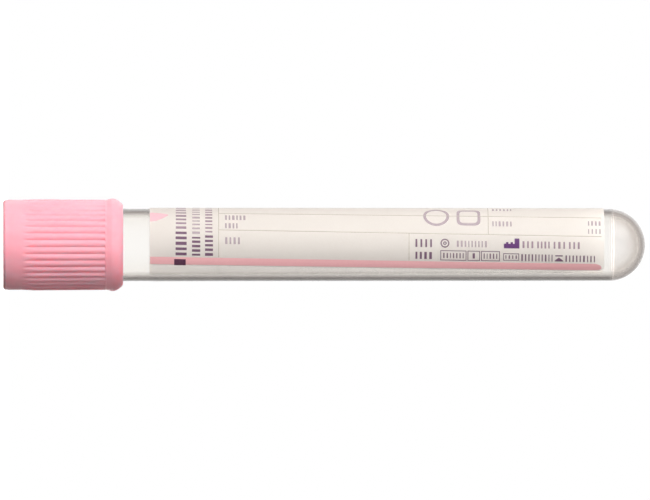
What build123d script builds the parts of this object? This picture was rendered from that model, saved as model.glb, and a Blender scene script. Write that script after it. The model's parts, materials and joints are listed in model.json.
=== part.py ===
from build123d import *

import os
from math import cos, degrees, radians, sin

# A 13 x 100 mm evacuated blood collection tube. A ribbed plastic safety shield holds its rubber stopper.
# Lying down it would roll, so it stands on its head: the closure's flat top edge is on the floor at Z = 0
# and the round bottom is up. Every piece is shaped about the Z axis. Names such as top, depth and end are
# for a tube held the right way up, so a point's depth below the closure's top edge is its height Z.
# Angles go round the axis from the front, -Y, towards +X. Sizes are in millimetres.

# Tube: moulded clear plastic with a round bottom
tube_length = 100.0
tube_rim_radius = 6.45
tube_draft = 0.075  # how much smaller the radius is where the round bottom starts
tube_wall = 1.05
tube_rim_round = 0.3

# Stopper: rubber. Its heights stack up from the closure's top down to the tube's rim
well_depth = 6.6  # from the shield's top edge down to the rubber
upper_flange_height = 2.1
main_flange_height = 3.6
flange_gap = 0.15  # between the flanges and the shield round them
plug_length = 7.1
plug_clearance = 0.03  # all round, inside the tube's bore
plug_ring_height = 1.4  # each of the plug's two sealing rings
plug_relief = 0.25  # how far the plug is cut back between the rings
plug_wall = 2.0
plug_hollow_depth = 4.2
plug_hollow_round = 1.2
target_radius = 3.0  # the dished spot that a needle goes through
target_depth = 1.5
rubber_edge_round = 0.2
rubber_outer_round = 0.5

# Safety shield: moulded plastic
shield_length = 21.16
skirt_gap = 0.3  # between the skirt's bore and the tube's rim
skirt_wall = 1.2  # at the smooth band round the top edge
well_wall = 1.65  # round the well, at the smooth band
web_height = 1.2  # the inner ledge that the stopper's groove holds
web_ledge = 1.5  # how far the ledge stands in from the well's wall
top_edge_round = 0.5
band_height = 3.3  # the smooth band above the ribs
rib_count = 40
first_rib_angle = 7.5  # degrees from the front to a rib's crest
rib_rise = 0.11  # how far the ribs' crests stand proud of the smooth band
rib_fall = 0.10  # how much lower the crests are at the ribs' blunt ends
rib_depth = 0.34  # from a rib's round crest down to the valley beside it
rib_lead_in = 2.1  # the ribs fade in from the band over this length
bead_rise = 0.22  # how far the skirt's bead stands proud of the smooth band
bead_neck_height = 0.32  # the bead's heights stack up from the ribs' ends to the skirt's end
bead_shoulder_height = 0.8
bead_crest_height = 0.45
bead_nose_height = 1.59
bead_nose_drop = 1.1  # how far the nose leans in
bead_nose_bulge = 0.18

# Label: paper, wrapped round the tube
label_thickness = 0.09
label_start_gap = 4.7  # bare tube between the skirt and the label
label_end_gap = 1.0  # between the label's end and the start of the round bottom
window_width = 7.25  # the bare strip between the label's long edges
window_angle = 39.5  # degrees from the front to the label's nearer long edge, halfway along it
label_skew = 1.05  # degrees between the label's long edges and the tube's axis

# Worked out from the sizes above
web_top = well_depth + upper_flange_height
web_bottom = web_top + web_height
rim_depth = web_bottom + main_flange_height
tube_base_radius = tube_rim_radius - tube_draft
round_start = rim_depth + tube_length - tube_base_radius
bore_radius = tube_rim_radius - tube_wall
skirt_bore_radius = tube_rim_radius + skirt_gap
band_radius = skirt_bore_radius + skirt_wall
well_radius = band_radius - well_wall
web_bore_radius = well_radius - web_ledge
crest_radius = band_radius + rib_rise
rib_root_radius = crest_radius - rib_fall - 1.5 * rib_depth  # just below the lowest valley
bead_radius = band_radius + bead_rise
bead_crest_end = shield_length - bead_nose_height
bead_crest_start = bead_crest_end - bead_crest_height
bead_start = bead_crest_start - bead_shoulder_height
ribs_end = bead_start - bead_neck_height
ribs_full = band_height + rib_lead_in
label_start = shield_length + label_start_gap
label_end = round_start - label_end_gap


def tube_radius(depth):
    """The tube's outer radius, which tapers evenly from its rim to its round bottom."""
    return tube_rim_radius - tube_draft * (depth - rim_depth) / (round_start - rim_depth)


def degrees_round_tube(length):
    """The angle that a length takes up round the tube."""
    return degrees(length / tube_rim_radius)


def round_axis(radius, turn):
    """The plan position at a radius and an angle in degrees from the front."""
    return (radius * sin(radians(turn)), -radius * cos(radians(turn)))


def turned(outline):
    """A solid of revolution from a closed outline drawn as (radius, depth)."""
    return revolve(Plane.XZ * make_face(outline), Axis.Z)


def rounded(*corners):
    """A closed outline from (radius, depth, rounding) corners."""
    return FilletPolyline(
        *[(radius, depth) for radius, depth, _ in corners],
        radius=[rounding for _, _, rounding in corners],
        close=True,
    )


def round_bottomed(rim, base):
    """The tube's outer form or its bore's, from the radii at its rim and at its round bottom."""
    sides = Polyline((0, round_start + base), (0, rim_depth), (rim, rim_depth), (base, round_start))
    return turned(sides + CenterArc((0, round_start), base, 0, 90))


def tube():
    """Outside and bore taper alike and both end in a hemisphere, so the wall is even."""
    shell = round_bottomed(tube_rim_radius, tube_base_radius) - round_bottomed(
        bore_radius, tube_base_radius - tube_wall
    )
    rim_edges = shell.edges().filter_by_position(Axis.Z, rim_depth, rim_depth)
    return fillet(rim_edges, tube_rim_round)


def stopper():
    """Upper flange, groove for the shield's web, main flange on the tube's rim, and a hollow plug."""
    edge, outer = rubber_edge_round, rubber_outer_round
    upper_radius = well_radius - flange_gap
    flange_radius = skirt_bore_radius - flange_gap
    ring_radius = bore_radius - plug_clearance
    waist_radius = ring_radius - plug_relief
    waist_start = rim_depth + plug_ring_height + plug_relief
    plug_end = rim_depth + plug_length
    waist_end = plug_end - plug_ring_height - plug_relief
    body = rounded(
        (0, well_depth, 0),
        (upper_radius, well_depth, outer),
        (upper_radius, web_top, edge),
        (web_bore_radius, web_top, 0),
        (web_bore_radius, web_bottom, 0),
        (flange_radius, web_bottom, edge),
        (flange_radius, rim_depth, edge),
        (ring_radius, rim_depth, 0),
        (ring_radius, waist_start - plug_relief, edge),
        (waist_radius, waist_start, edge),
        (waist_radius, waist_end, edge),
        (ring_radius, waist_end + plug_relief, edge),
        (ring_radius, plug_end, outer),
        (0, plug_end, 0),
    )
    hollow_radius = waist_radius - plug_wall
    hollow = rounded(
        (0, plug_end - plug_hollow_depth, 0),
        (hollow_radius, plug_end - plug_hollow_depth, plug_hollow_round),
        (hollow_radius, plug_end, 0),
        (0, plug_end, 0),
    )
    dish_radius = (target_radius**2 + target_depth**2) / (2 * target_depth)
    dish = Pos(0, 0, well_depth + target_depth - dish_radius) * Sphere(dish_radius)
    return turned(body) - turned(hollow) - dish


def shield_blank():
    """The shield without its ribs: open well, inner web, skirt bore and rounded bead."""
    nose = (bead_radius - bead_nose_drop, shield_length)
    crest_end = (bead_radius, bead_crest_end)
    top_round_centre = (band_radius - top_edge_round, top_edge_round)
    well_side = Polyline(
        nose,
        (skirt_bore_radius, shield_length),
        (skirt_bore_radius, web_bottom),
        (web_bore_radius, web_bottom),
        (web_bore_radius, web_top),
        (well_radius, web_top),
        (well_radius, top_edge_round),
        (well_radius + top_edge_round, 0),
        (band_radius - top_edge_round, 0),
    )
    grip_side = Polyline(
        (band_radius, top_edge_round),
        (band_radius, band_height),
        (rib_root_radius, ribs_full),
        (rib_root_radius, ribs_end),
        (band_radius, ribs_end),
        (band_radius, bead_start),
        (bead_radius, bead_crest_start),
        crest_end,
    )
    top_round = CenterArc(top_round_centre, top_edge_round, -90, 90)
    return turned(well_side + top_round + grip_side + SagittaArc(crest_end, nose, bead_nose_bulge))


def rib_section(depth):
    """The ribs' cross-section at one depth: a ring of round crests that meet in crisp valleys."""
    crest = crest_radius - rib_fall * (depth - ribs_full) / (ribs_end - ribs_full)
    valley = crest - rib_depth
    pitch = 360 / rib_count
    arcs = []
    for i in range(rib_count):
        angle = first_rib_angle + pitch * i
        before, after = round_axis(valley, angle - pitch / 2), round_axis(valley, angle + pitch / 2)
        arcs.append(ThreePointArc(before, round_axis(crest, angle), after))
    return Plane.XY.offset(depth) * make_face(arcs)


def ribs():
    """The ribs as a ring that reaches into the wall. They fade into the band and end bluntly."""
    reeded = loft([rib_section(band_height), rib_section(ribs_end)], ruled=True)
    inner, outer = (skirt_bore_radius + rib_root_radius) / 2, crest_radius + rib_depth
    envelope = Polyline(
        (inner, band_height),
        (band_radius, band_height),
        (crest_radius, ribs_full),
        (outer, ribs_full),
        (outer, ribs_end),
        (inner, ribs_end),
        close=True,
    )
    return reeded & turned(envelope)


def safety_shield():
    return shield_blank() + ribs()


def window_section(depth, middle):
    """The window strip's cross-section at one depth: a sector that spans the label's thickness."""
    half = degrees_round_tube(window_width / 2)
    inner, outer = 0.6 * tube_rim_radius, 1.4 * tube_rim_radius
    corners = [(inner, -half), (outer, -half), (outer, half), (inner, half)]
    outline = [round_axis(radius, middle + turn) for radius, turn in corners]
    return Plane.XY.offset(depth) * make_face(Polyline(*outline, close=True))


def label():
    """A tapered paper sleeve without its window strip, whose long edges run slightly askew."""
    start_radius = tube_radius(label_start)
    end_radius = tube_radius(label_end)
    sleeve = turned(
        Polyline(
            (start_radius, label_start),
            (start_radius + label_thickness, label_start),
            (end_radius + label_thickness, label_end),
            (end_radius, label_end),
            close=True,
        )
    )
    middle = window_angle + degrees_round_tube(window_width / 2)
    lean = degrees_round_tube((label_end - label_start) * sin(radians(label_skew)) / 2)
    window = loft(
        [window_section(label_start, middle - lean), window_section(label_end, middle + lean)], ruled=True
    )
    return sleeve - window


pieces = {
    "tube": tube(),
    "stopper": stopper(),
    "safety_shield": safety_shield(),
    "label": label(),
}
os.makedirs("parts", exist_ok=True)
for name, piece in pieces.items():
    export_step(piece, f"parts/{name}.step")
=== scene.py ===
import json
import math
import random

import bpy
import numpy as np
from mathutils import Matrix, Vector


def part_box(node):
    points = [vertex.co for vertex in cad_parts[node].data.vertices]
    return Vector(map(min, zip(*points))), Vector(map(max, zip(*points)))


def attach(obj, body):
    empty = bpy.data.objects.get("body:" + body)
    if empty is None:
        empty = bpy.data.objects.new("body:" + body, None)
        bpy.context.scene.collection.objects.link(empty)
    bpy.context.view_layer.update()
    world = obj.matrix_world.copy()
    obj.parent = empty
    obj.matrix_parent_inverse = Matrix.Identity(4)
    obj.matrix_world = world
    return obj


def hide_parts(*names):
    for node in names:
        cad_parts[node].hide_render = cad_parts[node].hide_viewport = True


# A round-bottomed blood collection tube that stands on its pink ribbed closure, round bottom up.
# Sizes are in millimetres and angles in degrees, unless a name or comment says otherwise. A point's depth is
# its distance from the closure's top edge, which stands on the floor, so it is the point's height too. Angles
# go round the axis from the front, -Y, towards +X. On the label, "along" is the distance from the label's
# start towards the round bottom, and "around" is the distance round the tube from the label's front long
# edge, towards -X.
MM = 0.001

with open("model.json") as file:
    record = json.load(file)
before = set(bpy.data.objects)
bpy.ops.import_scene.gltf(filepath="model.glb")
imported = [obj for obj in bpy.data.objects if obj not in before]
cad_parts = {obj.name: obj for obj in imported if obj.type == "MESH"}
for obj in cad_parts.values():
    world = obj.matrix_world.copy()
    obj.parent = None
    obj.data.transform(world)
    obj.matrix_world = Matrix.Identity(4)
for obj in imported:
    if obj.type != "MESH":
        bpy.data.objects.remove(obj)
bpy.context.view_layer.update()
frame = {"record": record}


def extent(node):
    """A CAD node's outer radius, lowest depth and highest depth."""
    low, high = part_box(node)
    return [round(value / MM, 3) for value in (high.x, low.z, high.z)]


TUBE_RADIUS, RIM_DEPTH, TUBE_END = extent("tube")
BEAD_RADIUS, _, SHIELD_LENGTH = extent("safety_shield")
FLANGE_RADIUS, WELL_DEPTH, PLUG_END = extent("stopper")
_, LABEL_START, LABEL_END = extent("label")
MOUNTS = {mount["name"]: mount for mount in frame["record"]["mounts"]}
BAND_RADIUS = MOUNTS["closure_band"]["dims"]["r_mm"]

# Meshes
LONG_STRAIGHT = 0.4  # a longer straight gets a row close to each end, which keeps its shading straight
HOLD = 0.02  # how close
CORNER_STEPS = 8

# Tube
TUBE_DRAFT = 0.075  # how much smaller the radius is where the round bottom starts
TUBE_WALL = 1.05
RIM_ROUND = 0.3
BASE_RADIUS = TUBE_RADIUS - TUBE_DRAFT
BORE_BASE_RADIUS = BASE_RADIUS - TUBE_WALL
ROUND_START = TUBE_END - BASE_RADIUS
MOULD_LINE_HEIGHT = 0.6  # above the start of the round bottom
MOULD_LINE_WIDTH = 0.14
MOULD_LINE_RISE = 0.012
TUBE_COLUMNS = 240
ROUND_STEPS = 48

# Stopper, from the rubber seen in the well to the hollow plug in the tube
UPPER_FLANGE_HEIGHT = 2.1
UPPER_FLANGE_RADIUS = 6.15
FLANGE_GAP = 0.15  # between the flanges and the shield round them
WEB_HEIGHT = 1.2  # the shield's inner ledge, which the stopper's groove holds
WEB_BORE = 4.8
WEB_GAP = 0.02  # between the web's bore and the stopper's neck
WEB_TOP = WELL_DEPTH + UPPER_FLANGE_HEIGHT
WEB_BOTTOM = WEB_TOP + WEB_HEIGHT
PLUG_GAP = 0.03  # all round, inside the tube's bore
PLUG_RADIUS = TUBE_RADIUS - TUBE_WALL - PLUG_GAP
PLUG_RELIEF = 0.25  # how far the plug is cut back between its two sealing rings
WAIST_RADIUS = PLUG_RADIUS - PLUG_RELIEF
PLUG_RING_HEIGHT = 1.4
PLUG_WALL = 2.0
PLUG_HOLLOW_DEPTH = 4.2
PLUG_HOLLOW_ROUND = 1.2
TARGET_RADIUS = 3.0  # the dished spot that a needle goes through
TARGET_DEPTH = 1.5
DISH_STEPS = 12
RUBBER_OUTER_ROUND = 0.5
RUBBER_EDGE_ROUND = 0.2
RUBBER_RING_ROUND = 0.15
RUBBER_CORNER_ROUND = 0.1
STOPPER_COLUMNS = 160

# Safety shield
WELL_RADIUS = UPPER_FLANGE_RADIUS + FLANGE_GAP
SKIRT_BORE = FLANGE_RADIUS + FLANGE_GAP
TOP_EDGE_ROUND = 0.5
WELL_EDGE_ROUND = 0.2
SHIELD_CORNER_ROUND = 0.15
SHIELD_EDGE_ROUND = 0.1
LIP_ROUND = 0.12
BAND_HEIGHT = 3.3  # the smooth band above the ribs
RIB_COUNT = 40
FIRST_RIB_ANGLE = 7.5  # from the front to a rib's crest
RIB_RISE = 0.11  # how far the crests stand proud of the smooth band
RIB_FALL = 0.10  # how much lower the crests are at the ribs' blunt ends
RIB_DEPTH = 0.34  # from a rib's round crest down to the valley beside it
RIB_LEAD_IN = 2.1  # the ribs fade in from the band over this length
RIB_START_POWER = 1.8  # a higher power lets the valleys start more gently
RIB_END_LENGTH = 0.08  # the ribs' ends drop to the band over this length
RIB_END_POWER = 1.5  # how round their edge is
CREST_RADIUS = BAND_RADIUS + RIB_RISE
ROOT_RADIUS = CREST_RADIUS - RIB_FALL - 1.5 * RIB_DEPTH  # just below the lowest valley
RIBS_FULL = BAND_HEIGHT + RIB_LEAD_IN
BEAD_NOSE_HEIGHT = 1.59  # the bead's heights stack up from the skirt's end to the ribs' ends
BEAD_CREST_HEIGHT = 0.45
BEAD_SHOULDER_HEIGHT = 0.8
BEAD_NECK_HEIGHT = 0.32
BEAD_NOSE_DROP = 1.1  # how far the nose leans in
BEAD_NOSE_BULGE = 0.18
BEAD_NECK_ROUND = 0.3
BEAD_CREST_ROUND = 0.4
CREST_END = SHIELD_LENGTH - BEAD_NOSE_HEIGHT
CREST_START = CREST_END - BEAD_CREST_HEIGHT
BEAD_START = CREST_START - BEAD_SHOULDER_HEIGHT
RIBS_END = BEAD_START - BEAD_NECK_HEIGHT
NOSE_RADIUS = BEAD_RADIUS - BEAD_NOSE_DROP
RIB_BLEND = 0.035  # softens the corner where a rib meets the band
VALLEY_BLEND = 0.1  # softens the valley between two ribs
COLUMNS_PER_RIB = 16
LEAD_IN_STEPS = 12
STRAIGHT_STEPS = 8
NOSE_STEPS = 8

# Label
LABEL_THICKNESS = 0.09
LABEL_GAP = 0.012  # film of adhesive between the tube and the paper
WINDOW_WIDTH = 7.25  # the bare strip between the label's long edges
WINDOW_ANGLE = 39.5  # from the front to the label's front long edge, halfway along it
LABEL_SKEW = 1.05  # between the label's long edges and the tube's axis
LABEL_LENGTH = LABEL_END - LABEL_START
LABEL_WIDTH = 2 * math.pi * TUBE_RADIUS - WINDOW_WIDTH
LABEL_CORNER = 1.1
LABEL_ROWS = 60
LABEL_COLUMNS = 200

# Print, placed one by one. Words become rows of plain blocks, and symbols become generic shapes. No block
# forms
# a letter or a number. A side word runs round the tube, and its length does too.
INK_RISE = 0.01
INK_SINK = 0.004  # how far the ink reaches into the paper
BOLD_RISE = 0.018  # clears the stripe
MARK_STEP = 0.35  # the longest span of ink round the tube between two points
RULE_STEP = 6.0  # and along it
LOOP_STEP = 7.5  # and round a loop
RANDOM = random.Random(4)
BLOCK_SPREAD = 0.3  # how far a block's share of its word may be from even

RULE_WIDTH = 0.14
RULES_START = 12.1
RULES_MARGIN = 1.7  # from the label's long edges
RULES_END_MARGIN = 0.5
LONG_RULES = (6.55, 10.4, 14.3, 18.2, 22.1, 26.0)
FRONT_RULE = 45.7
FIELD_RULE = 59.7

STRIPE_START = 0.2
STRIPE_END = 1.6
STRIPE_MARGIN = 0.05  # from the label's start
STRIPE_END_MARGIN = 0.45
STRIPE_START_DRAW, STRIPE_END_DRAW = 0.35, 0.6  # how far its two edges draw in at its round end
# along, around where it starts, around where it ends
PINK_MARK = ((0.05, 8.1, 10.5), (1.2, 8.3, 10.4), (2.4, 9.0, 10.2), (3.25, 9.7, 9.9))

# along, around, length, width
BLOCK = (4.3, 0.05, 2.05, 1.2)
DARK_BOXES = ((57.0, 2.3, 0.4, 0.95), (71.6, 2.95, 1.3, 0.22))
STEPPED_BLOCK = (
    (62.5, 4.25, 1.9, 0.8),
    (64.4, 4.25, 0.85, 1.75),
    (62.9, 5.05, 0.4, 0.3),
    (63.7, 5.05, 0.4, 0.3),
)

# along, around, length, height, number of blocks, share of the length that they cover
DARK_SIDE_WORDS = (
    (4.55, 1.95, 4.2, 1.95, 5, 0.58),
    (7.45, 1.95, 3.3, 1.45, 5, 0.58),
    (9.75, 1.95, 3.6, 1.4, 5, 0.58),
)
DARK_WORDS = (
    (46.9, 4.2, 2.9, 1.4, 4, 0.42),
    (46.9, 2.05, 2.9, 1.3, 4, 0.55),
    (51.8, 2.3, 3.6, 0.95, 7, 0.38),
    (58.95, 2.3, 2.4, 0.95, 5, 0.38),
    (62.8, 2.35, 2.0, 0.65, 4, 0.38),
    (65.6, 1.95, 5.5, 1.3, 10, 0.38),
    (73.4, 1.95, 5.2, 1.2, 9, 0.38),
)
SOFT_SIDE_WORDS = (
    (4.6, 6.7, 12.0, 1.85, 14, 0.5),
    (9.8, 6.1, 6.4, 1.25, 9, 0.5),
    (9.8, 13.4, 3.2, 1.25, 4, 0.5),
)
SOFT_WORDS = (
    (65.8, 4.35, 1.9, 1.2, 3, 0.5),
    (68.4, 4.35, 2.2, 1.2, 4, 0.5),
    (71.3, 4.35, 2.0, 1.2, 3, 0.5),
    (74.0, 4.35, 1.9, 1.2, 3, 0.5),
)
PALE_SIDE_WORDS = (
    (7.5, 5.8, 6.6, 1.35, 9, 0.45),
    (7.5, 13.2, 3.0, 1.35, 4, 0.45),
)
PALE_WORDS = (
    (13.3, 8.75, 3.6, 1.15, 6, 0.55),
    (13.3, 6.95, 2.2, 1.05, 4, 0.55),
    (13.3, 4.1, 2.6, 1.2, 4, 0.55),
    (54.2, 4.35, 5.3, 1.1, 9, 0.45),
    (60.5, 8.25, 3.4, 1.05, 6, 0.5),
    (60.5, 12.4, 3.4, 1.05, 6, 0.5),
    (77.4, 8.7, 2.2, 0.95, 4, 0.55),
    (77.4, 7.1, 2.2, 0.9, 4, 0.4),
    *((13.3, rule + 1.3, 4.4, 1.1, 7, 0.5) for rule in LONG_RULES[2:5]),
)

# along, around, length, width, line
DARK_FRAMES = (
    (51.3, 1.85, 4.6, 1.85, 0.13),
    (56.1, 1.85, 2.2, 1.85, 0.13),
    (58.5, 1.85, 3.3, 1.85, 0.13),
    (62.4, 2.0, 2.8, 1.35, 0.12),
)
# along and around to its middle, half its width, line, power: 2 is round and more is a rounded square
DARK_RINGS = ((52.1, 4.95, 0.78, 0.2, 2), (52.1, 4.95, 0.3, 0.16, 2))
PALE_SHAPES = ((50.6, 10.4, 2.3, 0.5, 2), (56.3, 10.4, 2.1, 0.5, 5))
# along, around where it starts, around where it ends
DARK_POINT = ((71.5, 2.0, 2.15), (72.25, 2.0, 2.75), (73.0, 2.0, 2.15))

# Colours, as screen values between 0 and 255. A pair is for the noise's low and high
NOISE_LOW, NOISE_HIGH = 0.3, 0.7
SHIELD_PINK = ((252, 168, 181), (254, 176, 189))
RUBBER_PINK = ((205, 112, 130), (216, 126, 143))
PAPER_WHITE = ((243, 238, 230), (249, 245, 238))
PAPER_GLOW = (250, 250, 250)
INKS = {
    "pink": ((230, 175, 179), (234, 181, 184)),
    "pale_pink": ((218, 178, 186), (214, 170, 179)),
    "block": ((82, 42, 70), (70, 32, 58)),
    "dark": ((112, 86, 108), (94, 68, 90)),
    "purple": ((90, 52, 106), (78, 42, 92)),
    "soft": ((150, 130, 142), (132, 112, 126)),
    "pale": ((168, 155, 161), (152, 139, 147)),
    "rule": ((188, 182, 172), (176, 170, 160)),
}
LAMPS_THROUGH = (250, 249, 247)
# Clear plastic's own colour, and painted shade. 0 is a surface that faces the eye, and 1 is one seen edge on
BORE_TINT = ((0, (253, 252, 250)), (0.34, (249, 248, 245)))
# towards 1 the wall darkens far more than the plastic would: a band of painted shade, then a painted lighter
# rim at the very edge
WALL_TINT_AND_PAINTED_SHADE = (
    (0, (253, 252, 250)),
    (0.31, (247, 244, 240)),
    (0.40, (198, 192, 186)),
    (0.48, (141, 135, 130)),
    (0.58, (62, 56, 52)),
    (0.80, (42, 38, 35)),
    (0.94, (190, 186, 180)),
)
# the round bottom's painted shade: a broader grey band, then a painted lighter rim at the very edge
DOME_TINT_AND_PAINTED_SHADE = (
    (0.03, (250, 247, 245)),
    (0.20, (232, 226, 222)),
    (0.30, (194, 186, 180)),
    (0.46, (168, 160, 153)),
    (0.62, (120, 112, 106)),
    (0.80, (92, 85, 80)),
    (0.94, (190, 186, 180)),
)
# the painted shade changes from the wall's to the round bottom's between these depths
WALL_SHADE_END = ROUND_START - 0.2
DOME_SHADE_START = ROUND_START + MOULD_LINE_HEIGHT + 0.6
OUTER_THROUGH = 0.45  # the share of light that goes through the label's printed side
INNER_THROUGH = 0.9  # and through its glued side

# Light. 1 shows a white surface as white
AMBIENT_LIGHT = (0.22, 0.135, 0.12, 1)
BACKDROP_LIGHT = (1.7, 1.7, 1.7, 1)
BACKDROP_FULL = 40  # it is at its brightest this near to straight behind the object
BACKDROP_FADES = 57  # and gone this far from it
NEAR_SIDE = 1.15  # how many times as strong the backdrop and the ambient light are at the -X side
FAR_SIDE = 0.33  # and at the +X side
SIDE_REACH = 0.7  # they change over this much X to each side, of a direction with a length of 1
SOFTBOX_SIDE = (-0.77, -0.38, 0.51)  # the direction of a large soft patch of light
SOFTBOX_LIGHT = (2, 1.97, 1.9, 1)
SOFTBOX_FULL = 5  # from its middle, as for the backdrop
SOFTBOX_FADES = 36

# Stage, in metres
FLOOR_REACH = 30
FLOOR_GREY = (0.42, 0.42, 0.42, 1)  # how it looks to light that bounces on to the object
SHADOW_WHITE = (0.98, 0.98, 0.98, 1)  # what the shadow is seen on
GLOW_STARTS, GLOW_FULL = 0.1, 0.55  # from the object's axis
LEAST_GLOW = 0.2  # near the object

# Camera
LENS = 1200
SENSOR = 36
VIEW_WIDTH = 114.92
AIM_X, AIM_DEPTH = 0.92, 56.88
CAMERA_DEPTH = 1  # almost level with the closure's top edge
CLIP_END = 20  # metres


def linear(screen):
    """Scene-linear colour from screen values between 0 and 255."""

    def channel(value):
        value = value / 255
        return value / 12.92 if value <= 0.04045 else ((value + 0.055) / 1.055) ** 2.4

    return (*map(channel, screen), 1)


# ---------------------------------------------------------------- mesh building


def add_mesh(name, points, faces, material, body, sharp=40):
    """A smooth-shaded mesh from points in millimetres, which rides on a CAD body."""
    mesh = bpy.data.meshes.new(name)
    mesh.from_pydata((np.asarray(points) * MM).tolist(), [], [list(face) for face in faces])
    mesh.validate()
    mesh.polygons.foreach_set("use_smooth", [True] * len(mesh.polygons))
    mesh.set_sharp_from_angle(angle=math.radians(sharp))
    mesh.materials.append(material)
    piece = bpy.data.objects.new(name, mesh)
    bpy.context.scene.collection.objects.link(piece)
    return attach(piece, body)


def arc(centre, radius, start, end, steps):
    """Points (radius, depth) on a circular arc."""
    turns = np.radians(np.linspace(start, end, steps + 1))
    return [(centre[0] + radius * math.cos(turn), centre[1] + radius * math.sin(turn)) for turn in turns]


def rounded(*corners, steps=5):
    """Points along an open outline of (radius, depth, rounding) corners. Its two ends stay sharp."""
    points = []
    for i, (x, y, rounding) in enumerate(corners):
        if rounding == 0 or i in (0, len(corners) - 1):
            points.append((x, y))
            continue
        corner = Vector((x, y))
        before = (Vector(corners[i - 1][:2]) - corner).normalized()
        after = (Vector(corners[i + 1][:2]) - corner).normalized()
        half = before.angle(after) / 2
        reach = rounding / math.tan(half)
        centre = corner + (before + after).normalized() * (rounding / math.sin(half))
        start, end = corner + before * reach - centre, corner + after * reach - centre
        for share in np.linspace(0, 1, steps + 1):
            spoke = start.lerp(end, share).normalized() * rounding
            points.append(tuple(centre + spoke))
    return points


def held(rows):
    """Rows with one more close to each end of a long straight, so that smooth shading keeps it straight."""
    filled = [rows[0]]
    for start, end in zip(rows, rows[1:]):
        length = math.dist(start, end) if np.ndim(start[0]) == np.ndim(end[0]) == 0 else 0
        if length > LONG_STRAIGHT:
            for share in (HOLD / length, 1 - HOLD / length):
                filled.append(tuple(np.add(start, np.subtract(end, start) * share)))
        filled.append(end)
    return filled


def turned(name, rows, columns, material, body, closed=False, sharp=40):
    """A body of revolution from rows of (radius, depth). A radius is a number or one value for each column.
    An open outline starts and ends on the axis and a closed one is a ring. Either goes up its outer side."""
    turns = np.radians(np.arange(columns) * 360 / columns)
    points, rings = [], []
    for radius, depth in held(rows):
        if np.ndim(radius) == 0 and radius == 0:
            rings.append([len(points)])
            points.append((0, 0, depth))
            continue
        radii = np.broadcast_to(radius, (columns,))
        rings.append(list(range(len(points), len(points) + columns)))
        points.extend(zip(radii * np.sin(turns), -radii * np.cos(turns), np.full(columns, depth)))
    pairs = list(zip(rings, rings[1:])) + ([(rings[-1], rings[0])] if closed else [])
    faces = []
    for one, two in pairs:
        for i in range(columns):
            j = (i + 1) % columns
            if len(one) == 1:
                faces.append((one[0], two[j], two[i]))
            elif len(two) == 1:
                faces.append((one[i], one[j], two[0]))
            else:
                faces.append((one[i], one[j], two[j], two[i]))
    return add_mesh(name, points, faces, material, body, sharp)


def front_edge(along):
    """The angle of the label's front long edge."""
    lean = math.degrees(math.sin(math.radians(LABEL_SKEW)) / TUBE_RADIUS)
    return WINDOW_ANGLE + lean * (along - LABEL_LENGTH / 2)


def on_label(along, around, rise):
    """The point at a place on the label and a height above the tube's surface."""
    depth = LABEL_START + along
    radius = TUBE_RADIUS - TUBE_DRAFT * (depth - RIM_DEPTH) / (ROUND_START - RIM_DEPTH) + rise
    turn = math.radians(front_edge(along)) - around / TUBE_RADIUS
    return (radius * math.sin(turn), -radius * math.cos(turn), depth)


def slab(grid, low, high, wrap=False):
    """Points and faces of a thin closed slab over a grid of (along, around) places. wrap joins its last
    column to its first."""
    rows, columns = len(grid), len(grid[0])
    points = [on_label(*place, low) for row in grid for place in row]
    points += [on_label(*place, high) for row in grid for place in row]
    top = rows * columns
    spans = columns if wrap else columns - 1
    faces = []
    for i in range(rows - 1):
        for j in range(spans):
            a, b = i * columns + j, i * columns + (j + 1) % columns
            c, d = b + columns, a + columns
            faces += [(a, b, c, d), (top + d, top + c, top + b, top + a)]
    for j in range(spans):
        a, b = j, (j + 1) % columns
        c, d = (rows - 1) * columns + a, (rows - 1) * columns + b
        faces += [(a, top + a, top + b, b), (c, d, top + d, top + c)]
    if not wrap:
        for i in range(rows - 1):
            a, b = i * columns, (i + 1) * columns
            c, d = a + columns - 1, b + columns - 1
            faces += [(a, b, top + b, top + a), (c, top + c, top + d, d)]
    return points, faces


# ---------------------------------------------------------------- materials


def set_inputs(holder, node, inputs):
    """Sets a node's inputs to values or joins them to other nodes' outputs. holder owns the node tree."""
    for name, value in inputs.items():
        if isinstance(value, bpy.types.NodeSocket):
            holder.node_tree.links.new(value, node.inputs[name])
        else:
            node.inputs[name].default_value = value


def add_node(holder, kind, inputs=None, **settings):
    """A new node in the holder's node tree."""
    node = holder.node_tree.nodes.new(kind)
    for name, value in settings.items():
        setattr(node, name, value)
    set_inputs(holder, node, inputs or {})
    return node


def new_material(name):
    """A material with its Principled shader and its output."""
    material = bpy.data.materials.new(name)
    material.use_nodes = True
    nodes = material.node_tree.nodes
    return material, nodes["Principled BSDF"], nodes["Material Output"]


def own_place(material):
    """A point's place in the piece's own metres."""
    return add_node(material, "ShaderNodeTexCoord").outputs["Object"]


def noise(material, scale, detail, roughness=0.5, stretch=(1, 1, 1)):
    """Noise with some features per metre. A stretch under 1 draws them out on that axis."""
    mapping = add_node(material, "ShaderNodeMapping", {"Vector": own_place(material), "Scale": stretch})
    inputs = {"Vector": mapping.outputs["Vector"], "Scale": scale, "Detail": detail, "Roughness": roughness}
    return add_node(material, "ShaderNodeTexNoise", inputs).outputs["Fac"]


def ramp(material, value, stops):
    """A colour that follows a value through (position, screen colour) stops."""
    node = add_node(material, "ShaderNodeValToRGB", {"Fac": value})
    elements = node.color_ramp.elements
    while len(elements) < len(stops):
        elements.new(0.5)
    for element, (position, colour) in zip(elements, stops):
        element.position, element.color = position, linear(colour)
    return node.outputs["Color"]


def mottled(material, value, pair):
    """A colour that follows noise between a pair of screen colours."""
    return ramp(material, value, ((NOISE_LOW, pair[0]), (NOISE_HIGH, pair[1])))


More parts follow.
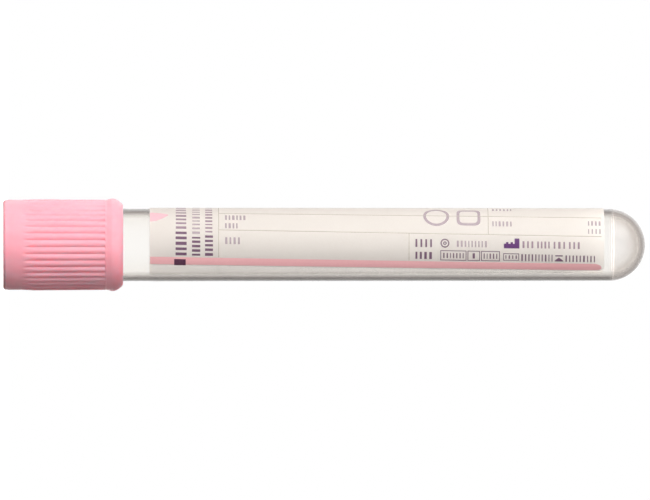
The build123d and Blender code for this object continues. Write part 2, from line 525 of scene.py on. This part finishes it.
def between(material, value, low, high):
    """A number that follows noise between two numbers."""
    inputs = {"Value": value, "From Min": NOISE_LOW, "From Max": NOISE_HIGH, "To Min": low, "To Max": high}
    return add_node(material, "ShaderNodeMapRange", inputs).outputs["Result"]


def blend(holder, kind, factor, one, two):
    """Two colours blended."""
    inputs = {"Factor": factor, "A": one, "B": two}
    mix = add_node(holder, "ShaderNodeMix", inputs, data_type="RGBA", blend_type=kind)
    return mix.outputs["Result"]


def by_height(material, low, high, lower, upper):
    """A colour that changes from one to another between two depths."""
    split = add_node(material, "ShaderNodeSeparateXYZ", {"Vector": own_place(material)})
    inputs = {"Value": split.outputs["Z"], "From Min": low * MM, "From Max": high * MM}
    share = add_node(material, "ShaderNodeMapRange", inputs).outputs["Result"]
    return blend(material, "MIX", share, lower, upper)


def bump(material, height, distance, strength):
    """A bumped normal from a height. distance is in metres."""
    inputs = {"Height": height, "Distance": distance, "Strength": strength}
    return add_node(material, "ShaderNodeBump", inputs).outputs["Normal"]


def mix_shaders(holder, share, one, two):
    """One shader that changes to another as share goes from 0 to 1."""
    return add_node(holder, "ShaderNodeMixShader", {"Fac": share, 1: one, 2: two}).outputs["Shader"]


def clear_plastic(name, roughness, tint_and_edge_shade):
    """Clear moulded plastic that lets lamps through. Its colour comes from the material and how far its
    surface is turned away from the eye, which on the tube's outside paints a dark shade and a lighter rim
    where it is seen edge on."""
    material, shader, output = new_material(name)
    layer = add_node(material, "ShaderNodeLayerWeight", {"Blend": 0.5})
    ripples = noise(material, scale=260, detail=2, stretch=(1, 1, 0.25))
    inputs = {
        # the base colour carries the painted edge shade of the tube's outside
        "Base Color": tint_and_edge_shade(material, layer.outputs["Facing"]),
        "Transmission Weight": 1,
        "Roughness": roughness,
        "IOR": 1.5,
        "Normal": bump(material, ripples, distance=0.00004, strength=0.25),
    }
    set_inputs(material, shader, inputs)
    shadow_ray = add_node(material, "ShaderNodeLightPath").outputs["Is Shadow Ray"]
    lamps_through = add_node(material, "ShaderNodeBsdfTransparent", {"Color": linear(LAMPS_THROUGH)})
    surface = mix_shaders(material, shadow_ray, shader.outputs["BSDF"], lamps_through.outputs["BSDF"])
    set_inputs(material, output, {"Surface": surface})
    return material


def outer_tint_and_painted_shade(material, facing):
    """The tube's outside turns grey where its wall or its round bottom is seen edge on, as painted shade."""
    wall, dome = ramp(material, facing, WALL_TINT_AND_PAINTED_SHADE), ramp(material, facing, DOME_TINT_AND_PAINTED_SHADE)
    return by_height(material, WALL_SHADE_END, DOME_SHADE_START, wall, dome)


def bore_tint(material, facing):
    """The tube's inside stays almost clear."""
    return ramp(material, facing, BORE_TINT)


def shield_plastic():
    """Pink moulded plastic, slightly translucent, with faint flow marks and a soft gloss."""
    material, shader, _ = new_material("shield_plastic")
    flow = noise(material, scale=420, detail=3, stretch=(1, 1, 0.2))
    inputs = {
        "Base Color": mottled(material, flow, SHIELD_PINK),
        "Specular IOR Level": 0.45,
        "Subsurface Weight": 0.9,
        "Subsurface Radius": (1.0, 0.25, 0.28),
        "Subsurface Scale": 2 * MM,
        "Roughness": between(material, noise(material, scale=900, detail=3), 0.46, 0.56),
        "Normal": bump(material, noise(material, scale=5200, detail=2), distance=0.00001, strength=0.35),
    }
    set_inputs(material, shader, inputs)
    return material


def stopper_rubber():
    """Satin pink rubber with a fine, slightly uneven skin."""
    material, shader, _ = new_material("stopper_rubber")
    inputs = {
        "Base Color": mottled(material, noise(material, scale=700, detail=4), RUBBER_PINK),
        "Roughness": between(material, noise(material, scale=2400, detail=3), 0.52, 0.68),
        "Normal": bump(material, noise(material, scale=6500, detail=3), distance=0.00002, strength=0.4),
    }
    set_inputs(material, shader, inputs)
    return material


def label_paper(name, through_share):
    """Coated white label paper: fine fibres, a faint warm mottle, and a share of light that goes through."""
    material, shader, output = new_material(name)
    fibres = noise(material, scale=3800, detail=4, roughness=0.6)
    inputs = {
        "Base Color": mottled(material, fibres, PAPER_WHITE),
        "Roughness": between(material, noise(material, scale=1500, detail=3), 0.45, 0.6),
        "Normal": bump(material, fibres, distance=0.000012, strength=0.3),
    }
    set_inputs(material, shader, inputs)
    through = add_node(material, "ShaderNodeBsdfTranslucent", {"Color": linear(PAPER_GLOW)})
    surface = mix_shaders(material, through_share, shader.outputs["BSDF"], through.outputs["BSDF"])
    set_inputs(material, output, {"Surface": surface})
    return material


def ink(name):
    """Printed ink whose density varies slightly."""
    material, shader, _ = new_material(f"{name}_ink")
    inputs = {
        "Base Color": mottled(material, noise(material, scale=2600, detail=3, roughness=0.6), INKS[name]),
        "Roughness": between(material, noise(material, scale=1500, detail=2), 0.38, 0.5),
    }
    set_inputs(material, shader, inputs)
    return material


# ---------------------------------------------------------------- pieces


def in_bore(place):
    """Whether a point on the tube's skin is on its inside."""
    from_axis = place.xy.length
    if place.z > ROUND_START:
        from_axis = (place - Vector((0, 0, ROUND_START))).length
    return from_axis < TUBE_RADIUS - TUBE_WALL / 2 and place.z > RIM_DEPTH + RIM_ROUND


def add_tube():
    """The clear tube: tapered walls, a rounded rim, a hemispherical bottom and the mould's witness line."""
    centre = (0, ROUND_START)
    wall = rounded(
        (BORE_BASE_RADIUS, ROUND_START, 0),
        (TUBE_RADIUS - TUBE_WALL, RIM_DEPTH, RIM_ROUND),
        (TUBE_RADIUS, RIM_DEPTH, RIM_ROUND),
        (BASE_RADIUS, ROUND_START, 0),
    )
    line = math.degrees(math.asin(MOULD_LINE_HEIGHT / BASE_RADIUS))
    half = math.degrees(MOULD_LINE_WIDTH / 2 / BASE_RADIUS)
    witness = []
    for offset, rise in ((-1, 0), (-0.5, 1), (0.5, 1), (1, 0)):
        turn = line + offset * half
        witness += arc(centre, BASE_RADIUS + rise * MOULD_LINE_RISE, turn, turn, steps=0)
    rows = [(0, ROUND_START + BORE_BASE_RADIUS)]
    rows += arc(centre, BORE_BASE_RADIUS, 90, 0, ROUND_STEPS)[1:-1]
    rows += wall
    rows += arc(centre, BASE_RADIUS, 0, line - half, steps=4)[1:-1]
    rows += witness
    rows += arc(centre, BASE_RADIUS, line + half, 90, ROUND_STEPS)[1:-1]
    rows.append((0, TUBE_END))
    outside = clear_plastic("clear_plastic", roughness=0.06, tint_and_edge_shade=outer_tint_and_painted_shade)
    piece = turned("clear_tube", rows, TUBE_COLUMNS, outside, "barrel", sharp=60)
    piece.data.materials.append(clear_plastic("clear_bore", roughness=0.03, tint_and_edge_shade=bore_tint))
    for face in piece.data.polygons:
        face.material_index = int(in_bore(face.center / MM))
    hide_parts("tube")


def smooth_most(a, b, softness):
    """The larger of two radii, with the corner between them softened."""
    return (a + b + np.sqrt((a - b) ** 2 + softness**2)) / 2


def smooth_least(a, b, softness):
    """The smaller of two radii, softened in the same way."""
    return (a + b - np.sqrt((a - b) ** 2 + softness**2)) / 2


def ridge(crest, turn):
    """A round-topped rib's radius at an angle from its crest. Neighbours meet RIB_DEPTH below the crest."""
    valley, reach = crest - RIB_DEPTH, math.pi / RIB_COUNT
    centre = (crest**2 - valley**2) / (2 * (crest - valley * math.cos(reach)))
    round_radius = crest - centre
    inside = np.maximum(round_radius**2 - (centre * np.sin(turn)) ** 2, 0)
    return centre * np.cos(turn) + np.sqrt(inside)


def grip_radius(depth):
    """The shield's outer radius in the ribs' stretch, for every column."""
    columns = RIB_COUNT * COLUMNS_PER_RIB
    pitch = 2 * math.pi / RIB_COUNT
    turn = np.arange(columns) * 2 * math.pi / columns - math.radians(FIRST_RIB_ANGLE)
    turn = (turn + pitch / 2) % pitch - pitch / 2
    crest = CREST_RADIUS - RIB_FALL * (depth - RIBS_FULL) / (RIBS_END - RIBS_FULL)
    ribs = smooth_most(ridge(crest, turn), ridge(crest, pitch - np.abs(turn)), VALLEY_BLEND)
    share = min((depth - BAND_HEIGHT) / RIB_LEAD_IN, 1)
    lead_in = BEAD_RADIUS  # clear of the ribs
    if share < 1:
        lead_in = BAND_RADIUS + (CREST_RADIUS - BAND_RADIUS) * share
    floor = BAND_RADIUS + (ROOT_RADIUS - BAND_RADIUS) * share**RIB_START_POWER
    return smooth_most(floor, smooth_least(lead_in, ribs, RIB_BLEND), RIB_BLEND)


def ribbed_grip():
    """The grip's rows: the ribs fade in from the band, run straight and end bluntly."""
    blunt_start = RIBS_END - RIB_END_LENGTH
    lead_in = np.linspace(BAND_HEIGHT, RIBS_FULL, LEAD_IN_STEPS + 1)[1:]
    straight = np.linspace(RIBS_FULL, blunt_start, STRAIGHT_STEPS + 1)[1:]
    rows = [(grip_radius(depth), depth) for depth in (*lead_in, *straight)]
    last = grip_radius(RIBS_END)
    for share in (0.35, 0.7, 1):
        radius = last + (BAND_RADIUS - last) * share**RIB_END_POWER
        rows.append((radius, blunt_start + RIB_END_LENGTH * share))
    return rows


def bead_nose():
    """Points between the bead's crest and its lip, bulged out from the straight line."""
    crest = Vector((BEAD_RADIUS, CREST_END))
    chord = Vector((NOSE_RADIUS, SHIELD_LENGTH)) - crest
    outwards = Vector((chord.y, -chord.x)).normalized()
    points = []
    for share in np.linspace(0, 1, NOSE_STEPS + 1)[1:-1]:
        bulge = BEAD_NOSE_BULGE * (1 - (2 * share - 1) ** 2)
        points.append(tuple(crest + chord * share + outwards * bulge))
    return points


def add_shield():
    """The safety shield: open well, inner web, smooth band, ribbed grip, and a bead with a rounded nose."""
    seam = (SKIRT_BORE, SHIELD_LENGTH - 1, 0)  # where the closed outline starts and ends, on a straight
    inside = rounded(
        seam,
        (SKIRT_BORE, WEB_BOTTOM, SHIELD_CORNER_ROUND),
        (WEB_BORE, WEB_BOTTOM, SHIELD_EDGE_ROUND),
        (WEB_BORE, WEB_TOP, SHIELD_EDGE_ROUND),
        (WELL_RADIUS, WEB_TOP, SHIELD_CORNER_ROUND),
        (WELL_RADIUS, TOP_EDGE_ROUND, WELL_EDGE_ROUND),
        (WELL_RADIUS + TOP_EDGE_ROUND, 0, SHIELD_EDGE_ROUND),
        (BAND_RADIUS, 0, TOP_EDGE_ROUND),
        (BAND_RADIUS, BAND_HEIGHT, 0),
        steps=4,
    )
    bead = rounded(
        (BAND_RADIUS, RIBS_END + HOLD, 0),
        (BAND_RADIUS, BEAD_START, BEAD_NECK_ROUND),
        (BEAD_RADIUS, CREST_START, BEAD_CREST_ROUND),
        (BEAD_RADIUS, CREST_END, 0),
        steps=4,
    )
    nose = bead_nose()
    lip = rounded(
        (*nose[-1], 0),
        (NOSE_RADIUS, SHIELD_LENGTH, LIP_ROUND),
        (SKIRT_BORE, SHIELD_LENGTH, SHIELD_EDGE_ROUND),
        seam,
        steps=4,
    )[1:-1]
    rows = inside + ribbed_grip() + bead + nose + lip
    columns = RIB_COUNT * COLUMNS_PER_RIB
    piece = turned("ribbed_shield", rows, columns, shield_plastic(), "closure", closed=True)
    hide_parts("safety_shield")


def add_stopper():
    """The rubber stopper: dished target, grooved neck, flange on the tube's rim, and a ringed hollow plug."""
    dish_radius = (TARGET_RADIUS**2 + TARGET_DEPTH**2) / (2 * TARGET_DEPTH)
    dish_reach = math.degrees(math.asin(TARGET_RADIUS / dish_radius))
    dish = arc((0, WELL_DEPTH + TARGET_DEPTH - dish_radius), dish_radius, 90, 90 - dish_reach, DISH_STEPS)
    outer, edge = RUBBER_OUTER_ROUND, RUBBER_EDGE_ROUND
    ring, corner = RUBBER_RING_ROUND, RUBBER_CORNER_ROUND
    ring_start, ring_end = PLUG_END - PLUG_RING_HEIGHT, RIM_DEPTH + PLUG_RING_HEIGHT
    hollow = WAIST_RADIUS - PLUG_WALL
    outside = rounded(
        (TARGET_RADIUS, WELL_DEPTH, 0),
        (UPPER_FLANGE_RADIUS, WELL_DEPTH, outer),
        (UPPER_FLANGE_RADIUS, WEB_TOP, edge),
        (WEB_BORE - WEB_GAP, WEB_TOP, corner),
        (WEB_BORE - WEB_GAP, WEB_BOTTOM, corner),
        (FLANGE_RADIUS, WEB_BOTTOM, edge),
        (FLANGE_RADIUS, RIM_DEPTH, edge),
        (PLUG_RADIUS, RIM_DEPTH, corner),
        (PLUG_RADIUS, ring_end, ring),
        (WAIST_RADIUS, ring_end + PLUG_RELIEF, edge),
        (WAIST_RADIUS, ring_start - PLUG_RELIEF, edge),
        (PLUG_RADIUS, ring_start, ring),
        (PLUG_RADIUS, PLUG_END, outer),
        (hollow, PLUG_END, edge),
        (hollow, PLUG_END - PLUG_HOLLOW_DEPTH, PLUG_HOLLOW_ROUND),
        (0, PLUG_END - PLUG_HOLLOW_DEPTH, 0),
    )
    rows = [(0, dish[0][1])] + dish[1:] + outside[1:-1] + [(0, outside[-1][1])]
    piece = turned("rubber_stopper", rows, STOPPER_COLUMNS, stopper_rubber(), "closure", sharp=50)
    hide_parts("stopper")


def corner_inset(along):
    """How far the label's long edges draw in near its ends, where the corners are rounded."""
    from_end = min(along, LABEL_LENGTH - along)
    if from_end >= LABEL_CORNER:
        return 0
    return LABEL_CORNER - math.sqrt(LABEL_CORNER**2 - (LABEL_CORNER - from_end) ** 2)


def add_label():
    """The paper label: one sheet wrapped round the tube with a bare strip between its skewed long edges."""
    corner = LABEL_CORNER * (1 - np.cos(np.radians(np.linspace(0, 90, CORNER_STEPS + 1))))
    straight = np.linspace(LABEL_CORNER, LABEL_LENGTH - LABEL_CORNER, LABEL_ROWS)[1:-1]
    grid = []
    for along in (*corner, *straight, *(LABEL_LENGTH - corner[::-1])):
        inset = corner_inset(along)
        across = np.linspace(inset, LABEL_WIDTH - inset, LABEL_COLUMNS)
        grid.append([(along, around) for around in across])
    points, faces = slab(grid, LABEL_GAP, LABEL_THICKNESS)
    piece = add_mesh("paper_label", points, faces, label_paper("label_paper", OUTER_THROUGH), "barrel")
    piece.data.materials.append(label_paper("label_glue_side", INNER_THROUGH))
    for face in piece.data.polygons:
        outwards = face.normal.xy.dot(face.center.xy.normalized())
        face.material_index = int(outwards < -0.5)
    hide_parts("label")


# ---------------------------------------------------------------- print


def strip(*rows):
    """A printed patch through (along, first around, last around) rows, fine enough to follow the tube."""
    widest = max(last - first for _, first, last in rows)
    across = np.linspace(0, 1, max(1, math.ceil(widest / MARK_STEP)) + 1)
    filled = [rows[0]]
    for start, end in zip(rows, rows[1:]):
        steps = max(1, math.ceil((end[0] - start[0]) / RULE_STEP))
        for share in np.linspace(0, 1, steps + 1)[1:]:
            filled.append(np.add(start, np.subtract(end, start) * share))
    return [[(along, first + (last - first) * share) for share in across] for along, first, last in filled]


def box(along, around, length, width):
    """A rectangular patch."""
    return strip((along, around, around + width), (along + length, around, around + width))


def shares(length, count, fill):
    """Start and length of each block in a row of uneven blocks with even gaps."""
    weights = [RANDOM.uniform(1 - BLOCK_SPREAD, 1 + BLOCK_SPREAD) for _ in range(count)]
    gap = length * (1 - fill) / max(count - 1, 1)
    start, blocks = 0, []
    for weight in weights:
        size = (length - gap * (count - 1)) * weight / sum(weights)
        blocks.append((start, size))
        start += size + gap
    return blocks


def word(along, around, length, height, count, fill):
    """A word that runs along the tube."""
    return [box(along + start, around, size, height) for start, size in shares(length, count, fill)]


def side_word(along, around, length, height, count, fill):
    """A word that runs round the tube."""
    return [box(along, around + start, height, size) for start, size in shares(length, count, fill)]


def outline(along, around, length, width, line):
    """A rectangular frame as four bars."""
    inner = width - 2 * line
    return [
        box(along, around, length, line),
        box(along, around + width - line, length, line),
        box(along, around + line, line, inner),
        box(along + length - line, around + line, line, inner),
    ]


def drawn(shape, rows):
    """All the patches of one kind of shape, from its rows of sizes."""
    return [patch for row in rows for patch in shape(*row)]


def loop(along, around, half, line, power):
    """A closed band round a point. power 2 is a ring and a higher power is a rounded square."""
    rows = []
    for reach in (half - line, half):
        row = []
        for turn in np.radians(np.arange(0, 360, LOOP_STEP)):
            radius = (abs(math.cos(turn)) ** power + abs(math.sin(turn)) ** power) ** (-1 / power)
            x, y = radius * math.cos(turn), radius * math.sin(turn)
            row.append((along + x * reach, around + y * reach))
        rows.append(row)
    return rows


def add_print(name, ink_name, marks, loops=(), rise=INK_RISE):
    """All the marks in one ink, as thin slabs on the paper."""
    points, faces = [], []
    for grid, wrap in [(mark, False) for mark in marks] + [(mark, True) for mark in loops]:
        more_points, more_faces = slab(grid, LABEL_THICKNESS - INK_SINK, LABEL_THICKNESS + rise, wrap)
        faces += [[index + len(points) for index in face] for face in more_faces]
        points += more_points
    add_mesh(name, points, faces, ink(ink_name), "barrel")


def add_stripe():
    """The pink band along the label's front edge, rounded at its far end, and a pale mark across from it."""
    width, end = STRIPE_END - STRIPE_START, LABEL_LENGTH - STRIPE_END_MARGIN
    rows = [(STRIPE_MARGIN, STRIPE_START, STRIPE_END), (end - width, STRIPE_START, STRIPE_END)]
    for share in np.linspace(0, 1, CORNER_STEPS + 1)[1:]:
        inset = width * (1 - math.sqrt(1 - share**2))
        along = end - width + width * share
        rows.append((along, STRIPE_START + STRIPE_START_DRAW * inset, STRIPE_END - STRIPE_END_DRAW * inset))
    add_print("print_stripe", "pink", [strip(*rows)])
    add_print("print_pink_mark", "pale_pink", [strip(*PINK_MARK)])


def add_dark_print():
    """The solid block at the start of the stripe, bold words and the small symbols."""
    add_print("print_block", "block", [box(*BLOCK)], rise=BOLD_RISE)
    marks = drawn(side_word, DARK_SIDE_WORDS) + drawn(word, DARK_WORDS) + drawn(outline, DARK_FRAMES)
    marks += [box(*sizes) for sizes in DARK_BOXES] + [strip(*DARK_POINT)]
    rings = [loop(*sizes) for sizes in DARK_RINGS]
    add_print("print_dark", "dark", marks, rings, BOLD_RISE)


def add_stepped_block():
    """The purple block with steps."""
    add_print("print_purple", "purple", [box(*sizes) for sizes in STEPPED_BLOCK])


def add_soft_print():
    """Regular-weight words in a soft purple grey."""
    add_print("print_soft", "soft", drawn(side_word, SOFT_SIDE_WORDS) + drawn(word, SOFT_WORDS))


def add_pale_print():
    """Small grey words, and two generic shapes where the certification mark was."""
    marks = drawn(side_word, PALE_SIDE_WORDS) + drawn(word, PALE_WORDS)
    add_print("print_pale", "pale", marks, [loop(*sizes) for sizes in PALE_SHAPES])


def add_rules():
    """The thin grey rules that divide the label into fields."""
    first_long = RULES_START + RULE_WIDTH
    long = LABEL_LENGTH - RULES_END_MARGIN - first_long
    marks = [box(RULES_START, RULES_MARGIN, RULE_WIDTH, LABEL_WIDTH - 2 * RULES_MARGIN)]
    marks += [box(first_long, around, long, RULE_WIDTH) for around in LONG_RULES]
    marks += [box(FRONT_RULE, RULES_MARGIN, RULE_WIDTH, LONG_RULES[0] - RULES_MARGIN)]
    for low, high in zip(LONG_RULES, LONG_RULES[1:]):
        marks.append(box(FIELD_RULE, low + RULE_WIDTH, RULE_WIDTH, high - low - RULE_WIDTH))
    add_print("print_rules", "rule", marks)


# ---------------------------------------------------------------- stage


def seen(holder, *kinds):
    """1 for camera rays and for the other kinds of ray, and 0 for the rest."""
    path = add_node(holder, "ShaderNodeLightPath")
    total = path.outputs["Is Camera Ray"]
    for kind in kinds:
        most = add_node(holder, "ShaderNodeMath", {0: total, 1: path.outputs[kind]}, operation="MAXIMUM")
        total = most.outputs["Value"]
    return total


def floor_white(material):
    """A white that keeps the object's shadow near it, and glows evenly further out."""
    reach = add_node(material, "ShaderNodeVectorMath", {0: own_place(material)}, operation="LENGTH")
    inputs = {
        "Value": reach.outputs["Value"],
        "From Min": GLOW_STARTS,
        "From Max": GLOW_FULL,
        "To Min": LEAST_GLOW,
        "To Max": 1,
    }
    strength = add_node(material, "ShaderNodeMapRange", inputs, interpolation_type="SMOOTHSTEP")
    glow = add_node(material, "ShaderNodeEmission", {"Strength": strength.outputs["Result"]})
    shadowed = add_node(material, "ShaderNodeBsdfDiffuse", {"Color": SHADOW_WHITE})
    parts = {0: glow.outputs["Emission"], 1: shadowed.outputs["BSDF"]}
    return add_node(material, "ShaderNodeAddShader", parts).outputs["Shader"]


def add_floor():
    """A pale floor that shows white to the camera but keeps the object's shadow."""
    mesh = bpy.data.meshes.new("studio_floor")
    reach = FLOOR_REACH
    corners = [(-reach, -reach, 0), (reach, -reach, 0), (reach, reach, 0), (-reach, reach, 0)]
    mesh.from_pydata(corners, [], [(0, 1, 2, 3)])
    material, shader, output = new_material("studio_floor")
    set_inputs(material, shader, {"Base Color": FLOOR_GREY, "Roughness": 0.9})
    shown = seen(material, "Is Glossy Ray", "Is Transmission Ray")
    surface = mix_shaders(material, shown, shader.outputs["BSDF"], floor_white(material))
    set_inputs(material, output, {"Surface": surface})
    mesh.materials.append(material)
    floor = bpy.data.objects.new("studio_floor", mesh)
    bpy.context.scene.collection.objects.link(floor)


def spot(world, direction, centre, full, fades):
    """1 within some degrees of a direction, fading to 0 further out."""
    close = add_node(world, "ShaderNodeVectorMath", {0: direction, 1: centre}, operation="DOT_PRODUCT")
    inputs = {
        "Value": close.outputs["Value"],
        "From Min": math.cos(math.radians(fades)),
        "From Max": math.cos(math.radians(full)),
    }
    return add_node(world, "ShaderNodeMapRange", inputs, interpolation_type="SMOOTHSTEP").outputs["Result"]


def add_world():
    """A white backdrop that lights the object from behind, a soft patch to the -X side of the front, and weak
    light from everywhere else. The camera sees all of it white, also through the clear plastic."""
    world = bpy.data.worlds.new("studio")
    world.use_nodes = True
    nodes = world.node_tree.nodes
    direction = add_node(world, "ShaderNodeTexCoord").outputs["Generated"]
    behind = spot(world, direction, (0, 1, 0), BACKDROP_FULL, BACKDROP_FADES)
    glow = blend(world, "MIX", behind, AMBIENT_LIGHT, BACKDROP_LIGHT)
    inputs = {
        "Value": add_node(world, "ShaderNodeSeparateXYZ", {"Vector": direction}).outputs["X"],
        "From Min": -SIDE_REACH,
        "From Max": SIDE_REACH,
        "To Min": NEAR_SIDE,
        "To Max": FAR_SIDE,
    }
    sideways = add_node(world, "ShaderNodeMapRange", inputs).outputs["Result"]
    even = blend(world, "MULTIPLY", 1, glow, sideways)
    softbox = spot(world, direction, SOFTBOX_SIDE, SOFTBOX_FULL, SOFTBOX_FADES)
    light = nodes["Background"]
    set_inputs(world, light, {"Color": blend(world, "ADD", softbox, even, SOFTBOX_LIGHT)})
    white = add_node(world, "ShaderNodeBackground", {"Color": (1, 1, 1, 1)})
    shown = seen(world, "Is Transmission Ray")
    surface = mix_shaders(world, shown, light.outputs["Background"], white.outputs["Background"])
    set_inputs(world, nodes["World Output"], {"Surface": surface})
    bpy.context.scene.world = world


def add_lamp(name, turn, height, distance, width, tall, power):
    """A soft rectangular lamp at an angle round the object, aimed at its middle. Distances are in metres."""
    data = bpy.data.lights.new(name, "AREA")
    data.shape = "RECTANGLE"
    data.size, data.size_y, data.energy = width, tall, power
    lamp = bpy.data.objects.new(name, data)
    bpy.context.scene.collection.objects.link(lamp)
    angle = math.radians(turn)
    lamp.location = (distance * math.sin(angle), -distance * math.cos(angle), height)
    middle = Vector((0, 0, TUBE_END * MM / 2))
    lamp.rotation_euler = (middle - lamp.location).to_track_quat("-Z", "Y").to_euler()
    lamp.visible_camera = False
    lamp.visible_transmission = False
    lamp.visible_glossy = False


def add_camera():
    """A long lens at the front, on its side: the closure is at the left and -X is up."""
    aim = Vector((AIM_X, 0, AIM_DEPTH)) * MM
    data = bpy.data.cameras.new("camera")
    data.lens, data.sensor_width, data.clip_end = LENS, SENSOR, CLIP_END
    camera = bpy.data.objects.new("camera", data)
    bpy.context.scene.collection.objects.link(camera)
    camera.location = (aim.x, -VIEW_WIDTH * MM * LENS / SENSOR, CAMERA_DEPTH * MM)
    back = (camera.location - aim).normalized()
    right = Vector((-1, 0, 0)).cross(back).normalized()
    up = back.cross(right)
    camera.rotation_euler = Matrix((right, up, back)).transposed().to_euler()
    bpy.context.scene.camera = camera


add_tube()
add_shield()
add_stopper()
add_label()
add_stripe()
add_dark_print()
add_stepped_block()
add_soft_print()
add_pale_print()
add_rules()
add_floor()
add_world()
add_lamp("key", turn=-27, height=0.12, distance=0.7, width=0.42, tall=0.7, power=8.6)
add_lamp("fill", turn=172, height=0.2, distance=0.8, width=0.5, tall=0.7, power=8)
add_camera()
bpy.context.scene.view_settings.view_transform = "Standard"
